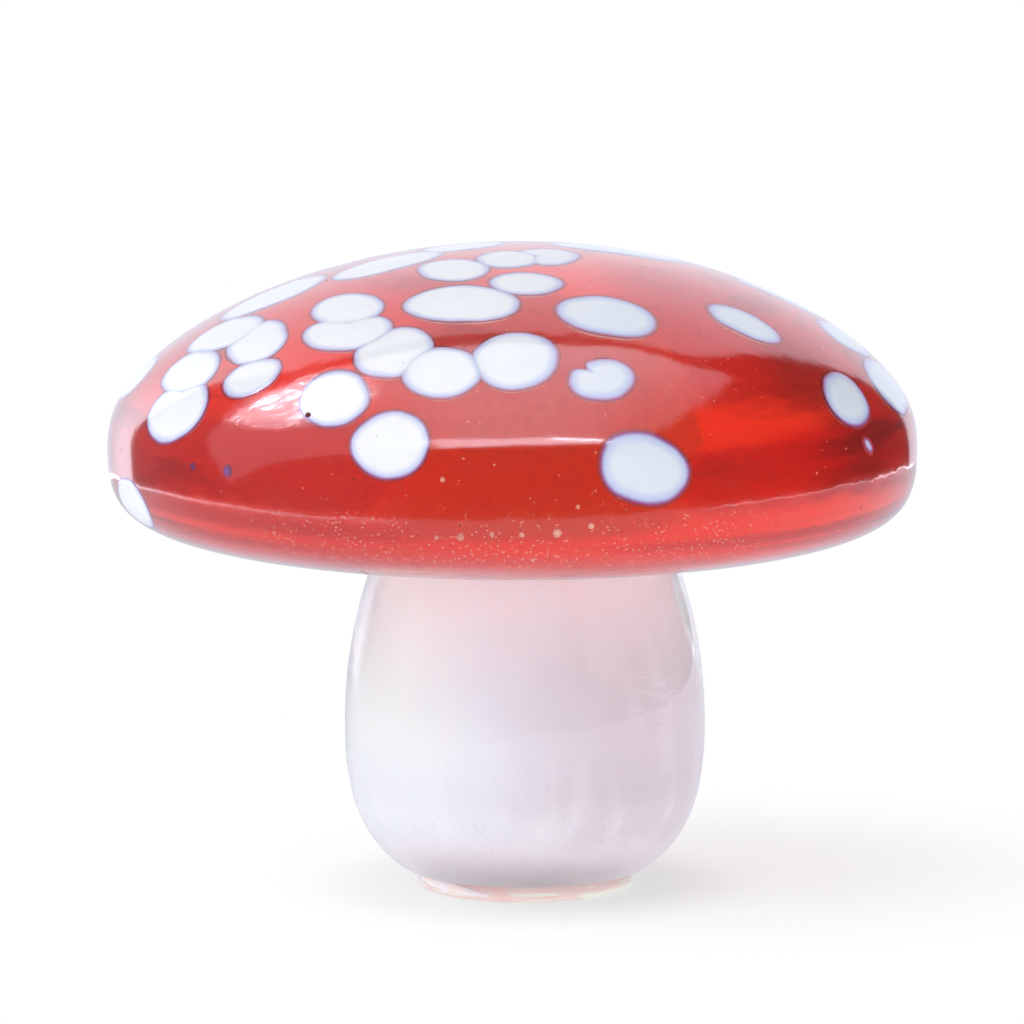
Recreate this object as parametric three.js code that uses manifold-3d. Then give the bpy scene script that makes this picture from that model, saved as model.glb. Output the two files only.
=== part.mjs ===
// Glass toadstool ornament: a ruby cap with white chips melted into it, on a clear stem round an opal core.
// Millimetres, +Z up. The foot stands on z = 0 and the stem's axis is the Z axis.

import * as THREE from 'three';
import { mergeVertices } from 'three/addons/utils/BufferGeometryUtils.js';
import Module from 'manifold-3d';

const wasm = await Module();
wasm.setup();

// Gap left all round a piece that sits inside another
const clearance = 0.3;

// Foot: the small ground pad that the ornament stands on
const footRadius = 13.3;
const footHeight = 2.2;
const footEdge = 0.6;

// Stem casing: a clear bulb, widest at its belly and drawn in to a neck under the cap
const stemRadius = 22.4;
const neckRadius = 18.5;
const bellyHeight = 20.5;
const seatHeight = 41.7;
const stemRoundness = 2.5;
const stemFullness = 3.3;

// Opal core: a column inside the casing that necks in at the seat and ends as a head inside the cap
const bellyWall = 6.6;
const neckWall = 6.6;
const floorWall = 2.8;
const coreBellyRise = 8;
const headRadius = 14.4;
const headRise = 10.3;
const headFlare = 6;
const headRounding = 4;

// Cap: a flattened pebble with a domed top and a rounded underside, ground flat where the stem meets it
const capRadius = 50;
const capRise = 22.5;
const capDrop = 16.2;
const seatDepth = 0.5;
const domePower = 1.6;
const undersidePower = 5.4;

// The hand-formed cap sits a little to one side of the stem, and its rim is pulled further that way
const capShift = 0.5;
const rimPull = 1.1;

// White chips: bearing round the cap in degrees, the way down from the crown (0) to the widest ring (100),
// length and width against the size of a usual chip, and the turn of the length out of level in degrees.
// Their depth is a share of their width.
const chipSize = 10;
const chipDepth = 0.36;
const chips = [
  // The crown
  { bearing: 180, down: 12, length: 1, width: 0.8, turn: 60 },
  { bearing: 263, down: 20, length: 0.9, width: 0.75, turn: 75 },
  { bearing: 286, down: 17.5, length: 1, width: 0.8, turn: -55 },
  { bearing: 4, down: 21, length: 1.6, width: 0.9, turn: 90 },
  { bearing: 203, down: 30.5, length: 1.4, width: 0.9, turn: 90 },
  { bearing: 242, down: 29.5, length: 1.05, width: 0.75, turn: 30 },
  { bearing: 272, down: 38, length: 0.85, width: 0.75, turn: 0 },
  // The front slope, from left to right
  { bearing: 192, down: 54, length: 1.3, width: 1.1, turn: 90 },
  { bearing: 203, down: 68.5, length: 1.25, width: 0.8, turn: -15 },
  { bearing: 216, down: 69, length: 1.15, width: 0.75, turn: 25 },
  { bearing: 228, down: 54, length: 1.1, width: 0.75, turn: 15 },
  { bearing: 235, down: 62.5, length: 1.15, width: 0.8, turn: 0 },
  { bearing: 256, down: 48.5, length: 1.35, width: 0.95, turn: 0 },
  { bearing: 270, down: 70.5, length: 1.05, width: 0.95, turn: -80 },
  { bearing: 258, down: 74.5, length: 0.95, width: 0.85, turn: 30 },
  { bearing: 248, down: 68.5, length: 1, width: 0.9, turn: 35 },
  { bearing: 290, down: 54.5, length: 1.15, width: 0.95, turn: 30 },
  { bearing: 322, down: 61.5, length: 0.95, width: 0.7, turn: 65 },
  { bearing: 2, down: 57, length: 1.2, width: 0.8, turn: 90 },
  { bearing: 354, down: 73.5, length: 1.2, width: 0.75, turn: 5 },
  // The front rim, from left to right
  { bearing: 184, down: 86.5, length: 1.2, width: 0.7, turn: 0 },
  { bearing: 207, down: 80.5, length: 1.2, width: 0.75, turn: 5 },
  { bearing: 212, down: 90, length: 1.2, width: 0.9, turn: 5 },
  { bearing: 201, down: 113.5, length: 1.2, width: 0.7, turn: 0 },
  { bearing: 224, down: 79.5, length: 0.8, width: 0.65, turn: -10 },
  { bearing: 242, down: 83, length: 0.95, width: 0.8, turn: 30 },
  { bearing: 253, down: 93.5, length: 0.95, width: 0.85, turn: 5 },
  { bearing: 284, down: 77, length: 0.85, width: 0.65, turn: -30 },
  { bearing: 288, down: 98.5, length: 1.1, width: 0.9, turn: 20 },
  { bearing: 329, down: 87.5, length: 0.95, width: 0.75, turn: -25 },
  { bearing: 329, down: 98.5, length: 0.3, width: 0.2, turn: 45 },
  { bearing: 349, down: 87.5, length: 1.4, width: 0.85, turn: 0 },
  // The far side, scattered in the same way
  { bearing: 60, down: 23, length: 0.9, width: 0.75, turn: 50 },
  { bearing: 132, down: 24, length: 0.95, width: 0.8, turn: 30 },
  { bearing: 24, down: 40, length: 1, width: 0.8, turn: 20 },
  { bearing: 93, down: 33, length: 1.1, width: 0.8, turn: 0 },
  { bearing: 158, down: 41, length: 1.05, width: 0.8, turn: -20 },
  { bearing: 70, down: 47, length: 1.15, width: 0.9, turn: -10 },
  { bearing: 113, down: 51, length: 1.2, width: 0.85, turn: 10 },
  { bearing: 38, down: 59, length: 1, width: 0.9, turn: 0 },
  { bearing: 140, down: 63, length: 1.1, width: 0.8, turn: -15 },
  { bearing: 168, down: 68, length: 1, width: 0.8, turn: 0 },
  { bearing: 88, down: 67, length: 0.95, width: 0.85, turn: 0 },
  { bearing: 62, down: 73, length: 1.2, width: 0.8, turn: 15 },
  { bearing: 18, down: 79, length: 1, width: 0.8, turn: 10 },
  { bearing: 112, down: 79, length: 1.2, width: 0.9, turn: 0 },
  { bearing: 152, down: 83, length: 0.95, width: 0.8, turn: 20 },
  { bearing: 78, down: 91, length: 1, width: 0.85, turn: 0 },
  { bearing: 42, down: 95, length: 1.1, width: 0.9, turn: 10 },
  { bearing: 132, down: 97, length: 1, width: 0.9, turn: -10 },
  { bearing: 9, down: 102, length: 0.85, width: 0.7, turn: 0 },
  { bearing: 100, down: 107, length: 0.9, width: 0.75, turn: 15 },
];

// How finely the round shapes are divided
const capSides = 48;
const stemSides = 32;
const domeRings = 9;
const undersideRings = 6;
const curveSteps = 5;
const chipSides = 12;
const chipRings = 4;
const outlineSamples = 600;

const quarterTurn = Math.PI / 2;
const rimHeight = seatHeight + capDrop - seatDepth;
const seatAngle = Math.asin((rimHeight - seatHeight) / capDrop);
const waistRadius = neckRadius - neckWall;
const coreRadius = stemRadius - bellyWall;
const coreBottom = footHeight + floorWall;
const coreBellyHeight = coreBottom + coreBellyRise;

const rubyGlass = new THREE.MeshStandardMaterial({ color: 0xb81f16, roughness: 0.05, metalness: 0 });
const whiteGlass = new THREE.MeshStandardMaterial({ color: 0xeef2fb, roughness: 0.08, metalness: 0 });
const opalGlass = new THREE.MeshStandardMaterial({ color: 0xf0dfe4, roughness: 0.3, metalness: 0 });
const clearGlass = new THREE.MeshStandardMaterial({ color: 0xf4f0f6, roughness: 0.05, metalness: 0 });

// A closed solid from a geometry, with shared corners joined and the empty triangles at its poles left out
function solidFrom(geometry) {
  geometry.deleteAttribute('normal');
  geometry.deleteAttribute('uv');
  const joined = mergeVertices(geometry);
  const corners = joined.index.array;
  const triangles = [];
  for (let first = 0; first < corners.length; first += 3) {
    const [a, b, c] = corners.slice(first, first + 3);
    if (a !== b && b !== c && c !== a) triangles.push(a, b, c);
  }
  return new wasm.Manifold(new wasm.Mesh({
    numProp: 3,
    vertProperties: joined.attributes.position.array,
    triVerts: Uint32Array.from(triangles),
  }));
}

function meshFrom(name, solid, material) {
  const { vertProperties, triVerts } = solid.getMesh();
  const geometry = new THREE.BufferGeometry();
  geometry.setAttribute('position', new THREE.BufferAttribute(vertProperties, 3));
  geometry.setIndex(new THREE.BufferAttribute(triVerts, 1));
  geometry.computeVertexNormals();
  const mesh = new THREE.Mesh(geometry, material);
  mesh.name = name;
  return mesh;
}

// An outline of [radius, height] points turned about the Z axis, from the bottom up
function turned(outline, sides) {
  const points = outline.map(([radius, height]) => new THREE.Vector2(radius, height));
  return new THREE.LatheGeometry(points, sides).rotateX(quarterTurn);
}

// Points of a curve at even steps of its share, from 0 to 1
function curvePoints(pointAt, steps) {
  return Array.from({ length: steps + 1 }, (_, step) => pointAt(step / steps));
}

// A smooth change from one radius to another
function ease(from, to, share) {
  return from + (to - from) * (1 - Math.cos(Math.PI * share)) / 2;
}

function footOutline() {
  return [
    [0, 0],
    [footRadius - footEdge, 0],
    [footRadius, footEdge],
    [footRadius, footHeight - footEdge],
    [footRadius - footEdge, footHeight],
    [0, footHeight],
  ];
}

// Stem casing

function bulbPoint(share) {
  const height = footHeight + (bellyHeight - footHeight) * (1 - Math.cos(share * quarterTurn));
  const below = (bellyHeight - height) / bellyHeight;
  return [stemRadius * (1 - below ** stemRoundness) ** (1 / stemFullness), height];
}

function shoulderPoint(share) {
  return [
    stemRadius - (stemRadius - neckRadius) * share ** 2,
    bellyHeight + (seatHeight - bellyHeight) * share,
  ];
}

function casingOutline() {
  const outside = [
    [0, footHeight],
    ...curvePoints(bulbPoint, curveSteps),
    ...curvePoints(shoulderPoint, curveSteps).slice(1),
  ];
  return [...outside, ...coreColumn(clearance).reverse()];
}

// The core's side from its lowest point up to the seat, moved out by a margin
function coreColumn(margin) {
  const bottom = curvePoints((share) => {
    const angle = share * quarterTurn;
    return [
      (coreRadius + margin) * Math.sin(angle),
      coreBellyHeight - (coreBellyRise + margin) * Math.cos(angle),
    ];
  }, curveSteps);
  const column = curvePoints((share) => [
    ease(coreRadius, waistRadius, share) + margin,
    coreBellyHeight + (seatHeight - coreBellyHeight) * share,
  ], curveSteps);
  return [...bottom, ...column.slice(1)];
}

// The core's head from the seat up to its top, moved out by a margin
function coreHead(margin) {
  const flare = curvePoints((share) => [
    ease(waistRadius, headRadius, share) + margin,
    seatHeight + headFlare * share,
  ], curveSteps);
  const shoulder = seatHeight + headRise - headRounding;
  const top = curvePoints((share) => {
    const angle = share * quarterTurn;
    return [
      (headRadius + margin) * Math.cos(angle),
      shoulder + (headRounding + margin) * Math.sin(angle),
    ];
  }, curveSteps);
  return [...flare, ...top];
}

// Cap

// A point of the cap's outline: from the crown at angle 0, over the rim at a quarter turn, to the underside
function capPoint(angle) {
  if (angle < quarterTurn) {
    const rise = Math.cos(angle);
    return [capRadius * Math.sqrt(1 - rise ** domePower), rimHeight + capRise * rise];
  }
  const drop = Math.sin(angle - quarterTurn);
  return [capRadius * Math.sqrt(1 - drop ** undersidePower), rimHeight - capDrop * drop];
}

// Moves a point of the round cap to where the hand-formed one has it
function formed(point) {
  const reach = Math.hypot(point.x, point.y) / capRadius;
  point.x -= capShift + rimPull * reach ** 2;
  return point;
}

function capSolid() {
  const underside = curvePoints((share) => capPoint(quarterTurn + seatAngle * (1 - share)), undersideRings);
  const dome = curvePoints((share) => capPoint(quarterTurn * (1 - share)), domeRings);
  const outline = [[0, seatHeight], ...underside, ...dome.slice(1)];
  const geometry = turned(outline, capSides);
  const position = geometry.attributes.position;
  for (let corner = 0; corner < position.count; corner += 1) {
    const point = formed(new THREE.Vector3().fromBufferAttribute(position, corner));
    position.setXYZ(corner, point.x, point.y, point.z);
  }
  return solidFrom(geometry);
}

function socketSolid() {
  const mouth = [waistRadius + clearance, seatHeight - clearance];
  return solidFrom(turned([[0, seatHeight - clearance], mouth, ...coreHead(clearance)], stemSides));
}

// Lengths along the cap's outline, so that chips can be set out along its slope
function measureOutline() {
  const lengths = [0];
  for (let sample = 1; sample <= outlineSamples; sample += 1) {
    const [radius, height] = capPoint(outlineAngle(sample));
    const [lastRadius, lastHeight] = capPoint(outlineAngle(sample - 1));
    lengths.push(lengths[sample - 1] + Math.hypot(radius - lastRadius, height - lastHeight));
  }
  return lengths;
}

function outlineAngle(sample) {
  return (quarterTurn + seatAngle) * sample / outlineSamples;
}

const outlineLengths = measureOutline();
const rimSample = Math.round(outlineSamples * quarterTurn / (quarterTurn + seatAngle));
const rimLength = outlineLengths[rimSample];

// The point on the formed cap at a bearing in radians and a share of the way down to the rim
function surfacePoint(bearing, share) {
  const found = outlineLengths.findIndex((length) => length >= share * rimLength);
  const [radius, height] = capPoint(outlineAngle(found < 0 ? outlineSamples : found));
  return formed(new THREE.Vector3(radius * Math.cos(bearing), radius * Math.sin(bearing), height));
}

// The ellipsoid of one chip, centred on the cap's surface and lying along it, grown by a margin
function chipSolid(chip, margin) {
  const bearing = THREE.MathUtils.degToRad(chip.bearing);
  const turn = THREE.MathUtils.degToRad(chip.turn);
  const share = chip.down / 100;
  const length = chip.length * chipSize;
  const width = chip.width * chipSize;
  const nearby = 0.02;
  const centre = surfacePoint(bearing, share);
  const slope = surfacePoint(bearing, share + nearby).sub(surfacePoint(bearing, share - nearby)).normalize();
  const across = new THREE.Vector3(-Math.sin(bearing), Math.cos(bearing), 0);
  const outward = new THREE.Vector3().crossVectors(slope, across).normalize();
  const along = new THREE.Vector3().crossVectors(outward, slope).applyAxisAngle(outward, -turn);
  const sideways = new THREE.Vector3().crossVectors(outward, along);
  const ellipsoid = new THREE.SphereGeometry(1, chipSides, chipRings)
    .rotateX(quarterTurn)
    .scale(length / 2 + margin, width / 2 + margin, width * chipDepth + margin)
    .applyMatrix4(new THREE.Matrix4().makeBasis(along, sideways, outward).setPosition(centre));
  return solidFrom(ellipsoid);
}

// A chip that meets an earlier one stops short of it
function fittedChip(index, cap, pockets) {
  let piece = cap.intersect(chipSolid(chips[index], 0));
  for (const earlier of pockets.slice(0, index)) piece = piece.subtract(earlier);
  return piece;
}

const ornament = new THREE.Group();
ornament.add(meshFrom('foot_pad', solidFrom(turned(footOutline(), stemSides)), clearGlass));
ornament.add(meshFrom('stem_casing', solidFrom(turned(casingOutline(), stemSides)), clearGlass));

const coreOutline = [...coreColumn(0), ...coreHead(0).slice(1)];
ornament.add(meshFrom('stem_core', solidFrom(turned(coreOutline, stemSides)), opalGlass));

const plainCap = capSolid();
const pockets = chips.map((chip) => chipSolid(chip, clearance));
let pocketedCap = plainCap.subtract(socketSolid());
for (const pocket of pockets) pocketedCap = pocketedCap.subtract(pocket);
ornament.add(meshFrom('cap_body', pocketedCap, rubyGlass));

chips.forEach((chip, index) => {
  const name = `spot_${String(index + 1).padStart(2, '0')}`;
  ornament.add(meshFrom(name, fittedChip(index, plainCap, pockets), whiteGlass));
});

export default ornament;
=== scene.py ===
"""Dresses the packed glass toadstool ornament: ruby cap, white chips, opal core, clear stem and studio."""

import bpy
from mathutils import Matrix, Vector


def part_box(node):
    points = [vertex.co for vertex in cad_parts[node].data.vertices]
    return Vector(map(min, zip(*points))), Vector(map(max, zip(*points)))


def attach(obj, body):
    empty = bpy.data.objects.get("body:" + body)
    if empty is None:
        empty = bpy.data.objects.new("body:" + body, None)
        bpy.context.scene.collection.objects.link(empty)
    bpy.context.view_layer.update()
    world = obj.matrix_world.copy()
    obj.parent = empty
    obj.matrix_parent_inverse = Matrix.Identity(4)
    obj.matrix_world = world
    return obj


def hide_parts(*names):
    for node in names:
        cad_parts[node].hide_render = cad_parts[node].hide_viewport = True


bl_info = {
    "name": "Glass Toadstool",
    "version": (1, 0, 0),
    "blender": (4, 5, 0),
    "location": "View3D > Sidebar > Toadstool",
    "description": "Builds the glass of a toadstool ornament round its packed model and sets the studio",
    "category": "Object",
}

import math
import random

import bpy
from bpy.props import FloatProperty, FloatVectorProperty, IntProperty, PointerProperty
from mathutils import Vector, noise
from mathutils.bvhtree import BVHTree

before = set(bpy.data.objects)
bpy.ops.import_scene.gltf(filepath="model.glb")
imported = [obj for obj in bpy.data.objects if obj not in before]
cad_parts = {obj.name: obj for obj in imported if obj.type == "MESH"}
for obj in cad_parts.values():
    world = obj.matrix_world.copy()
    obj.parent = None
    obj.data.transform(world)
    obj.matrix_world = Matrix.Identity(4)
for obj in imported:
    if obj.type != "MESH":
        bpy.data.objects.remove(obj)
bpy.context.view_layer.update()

MM = 0.001
QUARTER = math.pi / 2
GLASS_IOR = 1.5
BODY = "root"
CHIP_NODES = sorted(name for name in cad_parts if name.startswith("spot_"))

CAP_LOW, CAP_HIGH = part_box("cap_body")
STEM_LOW, STEM_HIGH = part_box("stem_casing")
CORE_LOW, CORE_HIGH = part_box("stem_core")
FOOT_LOW, FOOT_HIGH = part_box("foot_pad")


# Sizes and colours that a user may change

def length(label, text, default):
    """A property for a length in metres."""
    return FloatProperty(name=label, description=text, default=default, unit="LENGTH", precision=5)


def number(label, text, default):
    """A property for a plain number."""
    return FloatProperty(name=label, description=text, default=default, precision=4)


def colour(label, text, default):
    """A property for a linear colour."""
    return FloatVectorProperty(name=label, description=text, default=default, subtype="COLOR", size=3)


def count(label, text, default):
    """A property for a number of like things."""
    return IntProperty(name=label, description=text, default=default, min=0)


def turning(label, text, degrees):
    """A property for an angle, given in degrees."""
    return FloatProperty(name=label, description=text, default=math.radians(degrees), subtype="ANGLE")


class CapSettings(bpy.types.PropertyGroup):
    """The ruby cap."""

    radius: length("Radius", "Half of the cap's width", (CAP_HIGH.x - CAP_LOW.x) / 2)
    crown: length("Crown", "Height of the cap's top", CAP_HIGH.z)
    rim: length("Rim", "Height of the widest ring", 57.4 * MM)
    seat: length("Seat", "Height of the flat that meets the stem", CAP_LOW.z)
    drop: length("Drop", "From the widest ring down to the rounded underside", 16.2 * MM)
    dome_power: number("Dome power", "How full the dome is", 1.6)
    underside_power: number("Underside power", "How full the underside is", 5.4)
    rim_centre: length("Rim centre", "Sideways place of the rim's centre", (CAP_HIGH.x + CAP_LOW.x) / 2)
    crown_centre: length("Crown centre", "Sideways place of the crown", -0.5 * MM)
    ripple: length("Ripple", "Unevenness of the hand-formed surface", 0.06 * MM)
    skin: length("Skin", "Height of the fine waves on the surface", 0.022 * MM)
    waves: length("Waves", "Height of the finest waves, which only the gloss shows", 0.08 * MM)
    tint: colour("Tint", "Colour of thin glass", (1.0, 0.82, 0.78))
    # Thin glass on the left, paler and pinker there as painted light from the left
    lit_rose: colour("Rose", "Colour of thin glass on the left", (1.0, 0.62, 0.86))
    # Thin glass low on the left, darkened there as painted shade
    wine_shade: colour("Wine", "Colour of thin glass low on the left", (0.60, 0.44, 0.60))
    ember: colour("Ember", "Colour of thin glass low on the right", (0.94, 0.43, 0.37))
    streak: colour("Streak", "Colour of the darker streaks in the glass", (0.58, 0.26, 0.28))
    # Painted shade: the colour of a dark patch at the right of the cap
    painted_shade_patch: colour("Smoke", "Colour of the painted_shade patch at the right", (0.30, 0.22, 0.25))
    sand: colour("Sand", "Colour of the sandy grains", (0.92, 0.60, 0.46))
    rust: colour("Rust", "Darker colour of the sandy grains", (0.80, 0.34, 0.22))
    depth_tint: colour("Depth tint", "Colour that deep glass keeps", (1.0, 0.42, 0.16))
    density: number("Density", "How fast deep glass takes light away", 62.0)


class ChipSettings(bpy.types.PropertyGroup):
    """The white chips in the cap."""

    swell: number("Swell", "Growth over the packed outline, which is cut with straight sides", 1.18)
    proud: length("Proud", "How far a chip stands out of the cap", 0.03 * MM)
    depth: number("Depth", "Thickness against the chip's mean radius", 0.5)
    white: colour("White", "Colour of the chips", (0.86, 0.91, 0.99))
    # Bluish clouds in the chips, and the painted shade on their right
    shade: colour("Shade", "Bluish clouds in the chips", (0.73, 0.81, 0.94))
    periwinkle: colour("Periwinkle", "Colour where the white begins to thin", (0.53, 0.61, 0.90))
    violet: colour("Violet", "Colour of the melted edge low on the cap", (0.30, 0.10, 0.34))
    lilac: colour("Lilac", "Colour of the melted edge high on the cap", (0.48, 0.32, 0.56))
    # The last of the edge: the red glass through the thin white, darkened as painted shade round the chip
    crimson_shade: colour("Crimson", "Colour of the last of the edge", (0.40, 0.025, 0.03))
    edge: length("Edge", "Width of the melted edge", 1.8 * MM)


class SpeckSettings(bpy.types.PropertyGroup):
    """The specks, blisters and flecks under the skin of the cap, and the pits in it, which are dark balls of
    painted shade.
    """

    specks: count("Specks", "Number of fine specks all over the cap", 500)
    pits: count("Pits", "Number of small dark pits", 60)
    finest: length("Finest", "Radius of the finest speck", 0.05 * MM)
    coarsest: length("Coarsest", "Radius of the coarsest speck", 0.16 * MM)
    cover: length("Cover", "Glass over the shallowest speck", 0.05 * MM)
    pale: colour("Pale", "Colour of the specks", (0.95, 0.70, 0.55))
    sandy: colour("Sandy", "Darker colour of the specks", (0.85, 0.42, 0.28))
    violet: colour("Violet", "Colour of the two flecks", (0.25, 0.08, 0.50))
    # Painted shade: the dark colour of the pits and of the bubble, which stand for small hollows in the glass
    dark: colour("Dark", "Colour of the pits", (0.16, 0.02, 0.02))


class CoreSettings(bpy.types.PropertyGroup):
    """The opal core."""

    radius: length("Radius", "Half of the column's width", (CORE_HIGH.x - CORE_LOW.x) / 2)
    bottom: length("Bottom", "Height of the lowest point", CORE_LOW.z)
    belly: length("Belly", "Height of the widest ring", CORE_LOW.z + 8 * MM)
    waist: length("Waist", "Radius at the cap's seat", 11.9 * MM)
    head: length("Head", "Radius of the head in the cap", 14.4 * MM)
    flare: length("Flare", "Height over which the waist opens to the head", 6 * MM)
    rounding: length("Rounding", "Height of the head's rounded top", 4 * MM)
    top: length("Top", "Height of the head's top", CORE_HIGH.z)
    # Bluer and paler on the left as painted light from the left, darker on the right as painted shade
    white: colour("White", "Colour of the milky glass on its left", (0.86, 0.92, 1.0))
    lilac: colour("Lilac", "Colour of the milky glass on its right", (0.72, 0.66, 0.71))
    # Painted red light from the cap
    pink: colour("Pink", "Colour of the glass near the cap", (1.0, 0.88, 0.93))
    # Painted shade at the belly
    belly_shade: colour("Dusk", "Colour of the glass at the belly", (0.55, 0.48, 0.52))
    # A painted glow near the foot
    glow: colour("Glow", "Colour of the glass near the foot", (1.0, 0.88, 0.93))
    sandy: colour("Sandy", "Colour of the head in the cap", (0.70, 0.62, 0.46))
    streak: colour("Streak", "Colour of the faint wisps", (0.90, 0.88, 0.93))


class StemSettings(bpy.types.PropertyGroup):
    """The clear stem."""

    radius: length("Radius", "Half of the stem's width", (STEM_HIGH.x - STEM_LOW.x) / 2)
    neck: length("Neck", "Radius under the cap", 18.5 * MM)
    bottom: length("Bottom", "Height of the flat that meets the foot", FOOT_HIGH.z)
    belly: length("Belly", "Height of the widest ring", 20.5 * MM)
    roundness: number("Roundness", "How round the bulb's bottom is", 2.5)
    fullness: number("Fullness", "How full the bulb's bottom is", 3.3)
    seat_gap: length("Seat gap", "Air between the stem and the cap", 0.05 * MM)
    ripple: length("Ripple", "Height of the waves on the surface", 0.05 * MM)
    # The tints of the bloom are painted light: bluish from the left, lilac on the right and pink from the cap
    bloom: colour("Bloom", "Bluish bloom on the left", (0.965, 0.975, 1.0))
    lilac: colour("Lilac", "Lilac bloom on the right", (0.97, 0.955, 0.99))
    blush: colour("Blush", "Pink bloom near the cap", (1.0, 0.955, 0.97))
    tick: colour("Tick", "Colour of the fine ticks of hot work", (0.85, 0.83, 0.88))


class FootSettings(bpy.types.PropertyGroup):
    """The foot and the flake at its edge."""

    radius: length("Radius", "Half of the foot's width", (FOOT_HIGH.x - FOOT_LOW.x) / 2)
    height: length("Height", "Height of the foot", FOOT_HIGH.z)
    edge: length("Edge", "Rounding of the foot's edge", 0.7 * MM)
    taper: length("Taper", "How much narrower the foot is at its top", 0.9 * MM)
    gap: length("Gap", "Air between the foot and the stem", 0.05 * MM)
    blush: colour("Blush", "Pink of the foot", (1.0, 0.68, 0.66))
    pale: colour("Pale", "Paler clouds in the foot", (1.0, 0.80, 0.78))
    # Painted glints: light caught in the foot, painted into its colour
    painted_glint: colour("Glint", "Light caught in the foot", (1.0, 0.98, 0.86))
    flake: colour("Flake", "Colour of the flake", (0.95, 0.90, 1.0))


class StageSettings(bpy.types.PropertyGroup):
    """The studio: camera, softbox, floor and surroundings."""

    camera_side: length("Camera side", "How far the camera stands to the side", -1.6 * MM)
    camera_back: length("Camera back", "How far the camera stands back", 750 * MM)
    camera_height: length("Camera height", "Height of the camera", 146 * MM)
    aim_height: length("Aim height", "Height that the camera looks at", 46.6 * MM)
    lens: number("Lens", "Focal length in millimetres", 215.0)
    table_side: length("Table side", "How far the round table's middle lies to the right", 45 * MM)
    table_back: length("Table back", "How far the round table's middle lies back", 105 * MM)
    table_radius: length("Table radius", "Radius of the round table", 302 * MM)
    floor_drop: length("Floor drop", "How far the floor lies below the foot", 0.15 * MM)
    floor_white: colour("Floor white", "Colour of the floor", (0.87, 0.94, 0.935))
    softbox_glow: number("Softbox glow", "Brightness of the softbox's face", 1.0)
    softbox_size: length("Softbox size", "Width and height of the softbox", 1300 * MM)
    softbox_turn: turning("Softbox turn", "How far the softbox stands round to the right of the camera", -68)
    softbox_rise: turning("Softbox rise", "How high the softbox stands above the horizon", 52)
    softbox_away: length("Softbox away", "From the softbox to the spot that it faces", 1250 * MM)
    softbox_aim: length("Softbox aim", "Height of the spot that the softbox faces", 60 * MM)
    scrim_glow: number("Scrim glow", "Brightness of the scrim overhead in reflections", 2.0)
    daylight: number("Daylight", "Brightness of the surroundings on matt surfaces", 0.5)
    fill: number("Fill", "Brightness of the low fill on matt surfaces", 1.3)
    casing_gain: number("Casing gain", "Extra light on what the glass encloses", 0.75)
    sky: colour("Sky", "Colour of the light in reflections", (0.93, 0.97, 1.10))
    dark_front: number("Dark front", "Brightness of the room behind the camera in reflections", 0.05)


# Shader sums as Python

class Wire:
    """A shader socket that takes part in sums."""

    def __init__(self, bench, socket):
        self.bench = bench
        self.socket = socket

    def __add__(self, other):
        return self.bench.sum("ADD", self, other)

    def __radd__(self, other):
        return self.bench.sum("ADD", other, self)

    def __sub__(self, other):
        return self.bench.sum("SUBTRACT", self, other)

    def __rsub__(self, other):
        return self.bench.sum("SUBTRACT", other, self)

    def __mul__(self, other):
        return self.bench.sum("MULTIPLY", self, other)

    def __rmul__(self, other):
        return self.bench.sum("MULTIPLY", other, self)

    def __truediv__(self, other):
        return self.bench.sum("DIVIDE", self, other)

    def __rtruediv__(self, other):
        return self.bench.sum("DIVIDE", other, self)

    def __neg__(self):
        return 0 - self

    def __abs__(self):
        return self.bench.sum("ABSOLUTE", self, 0.0)


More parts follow.
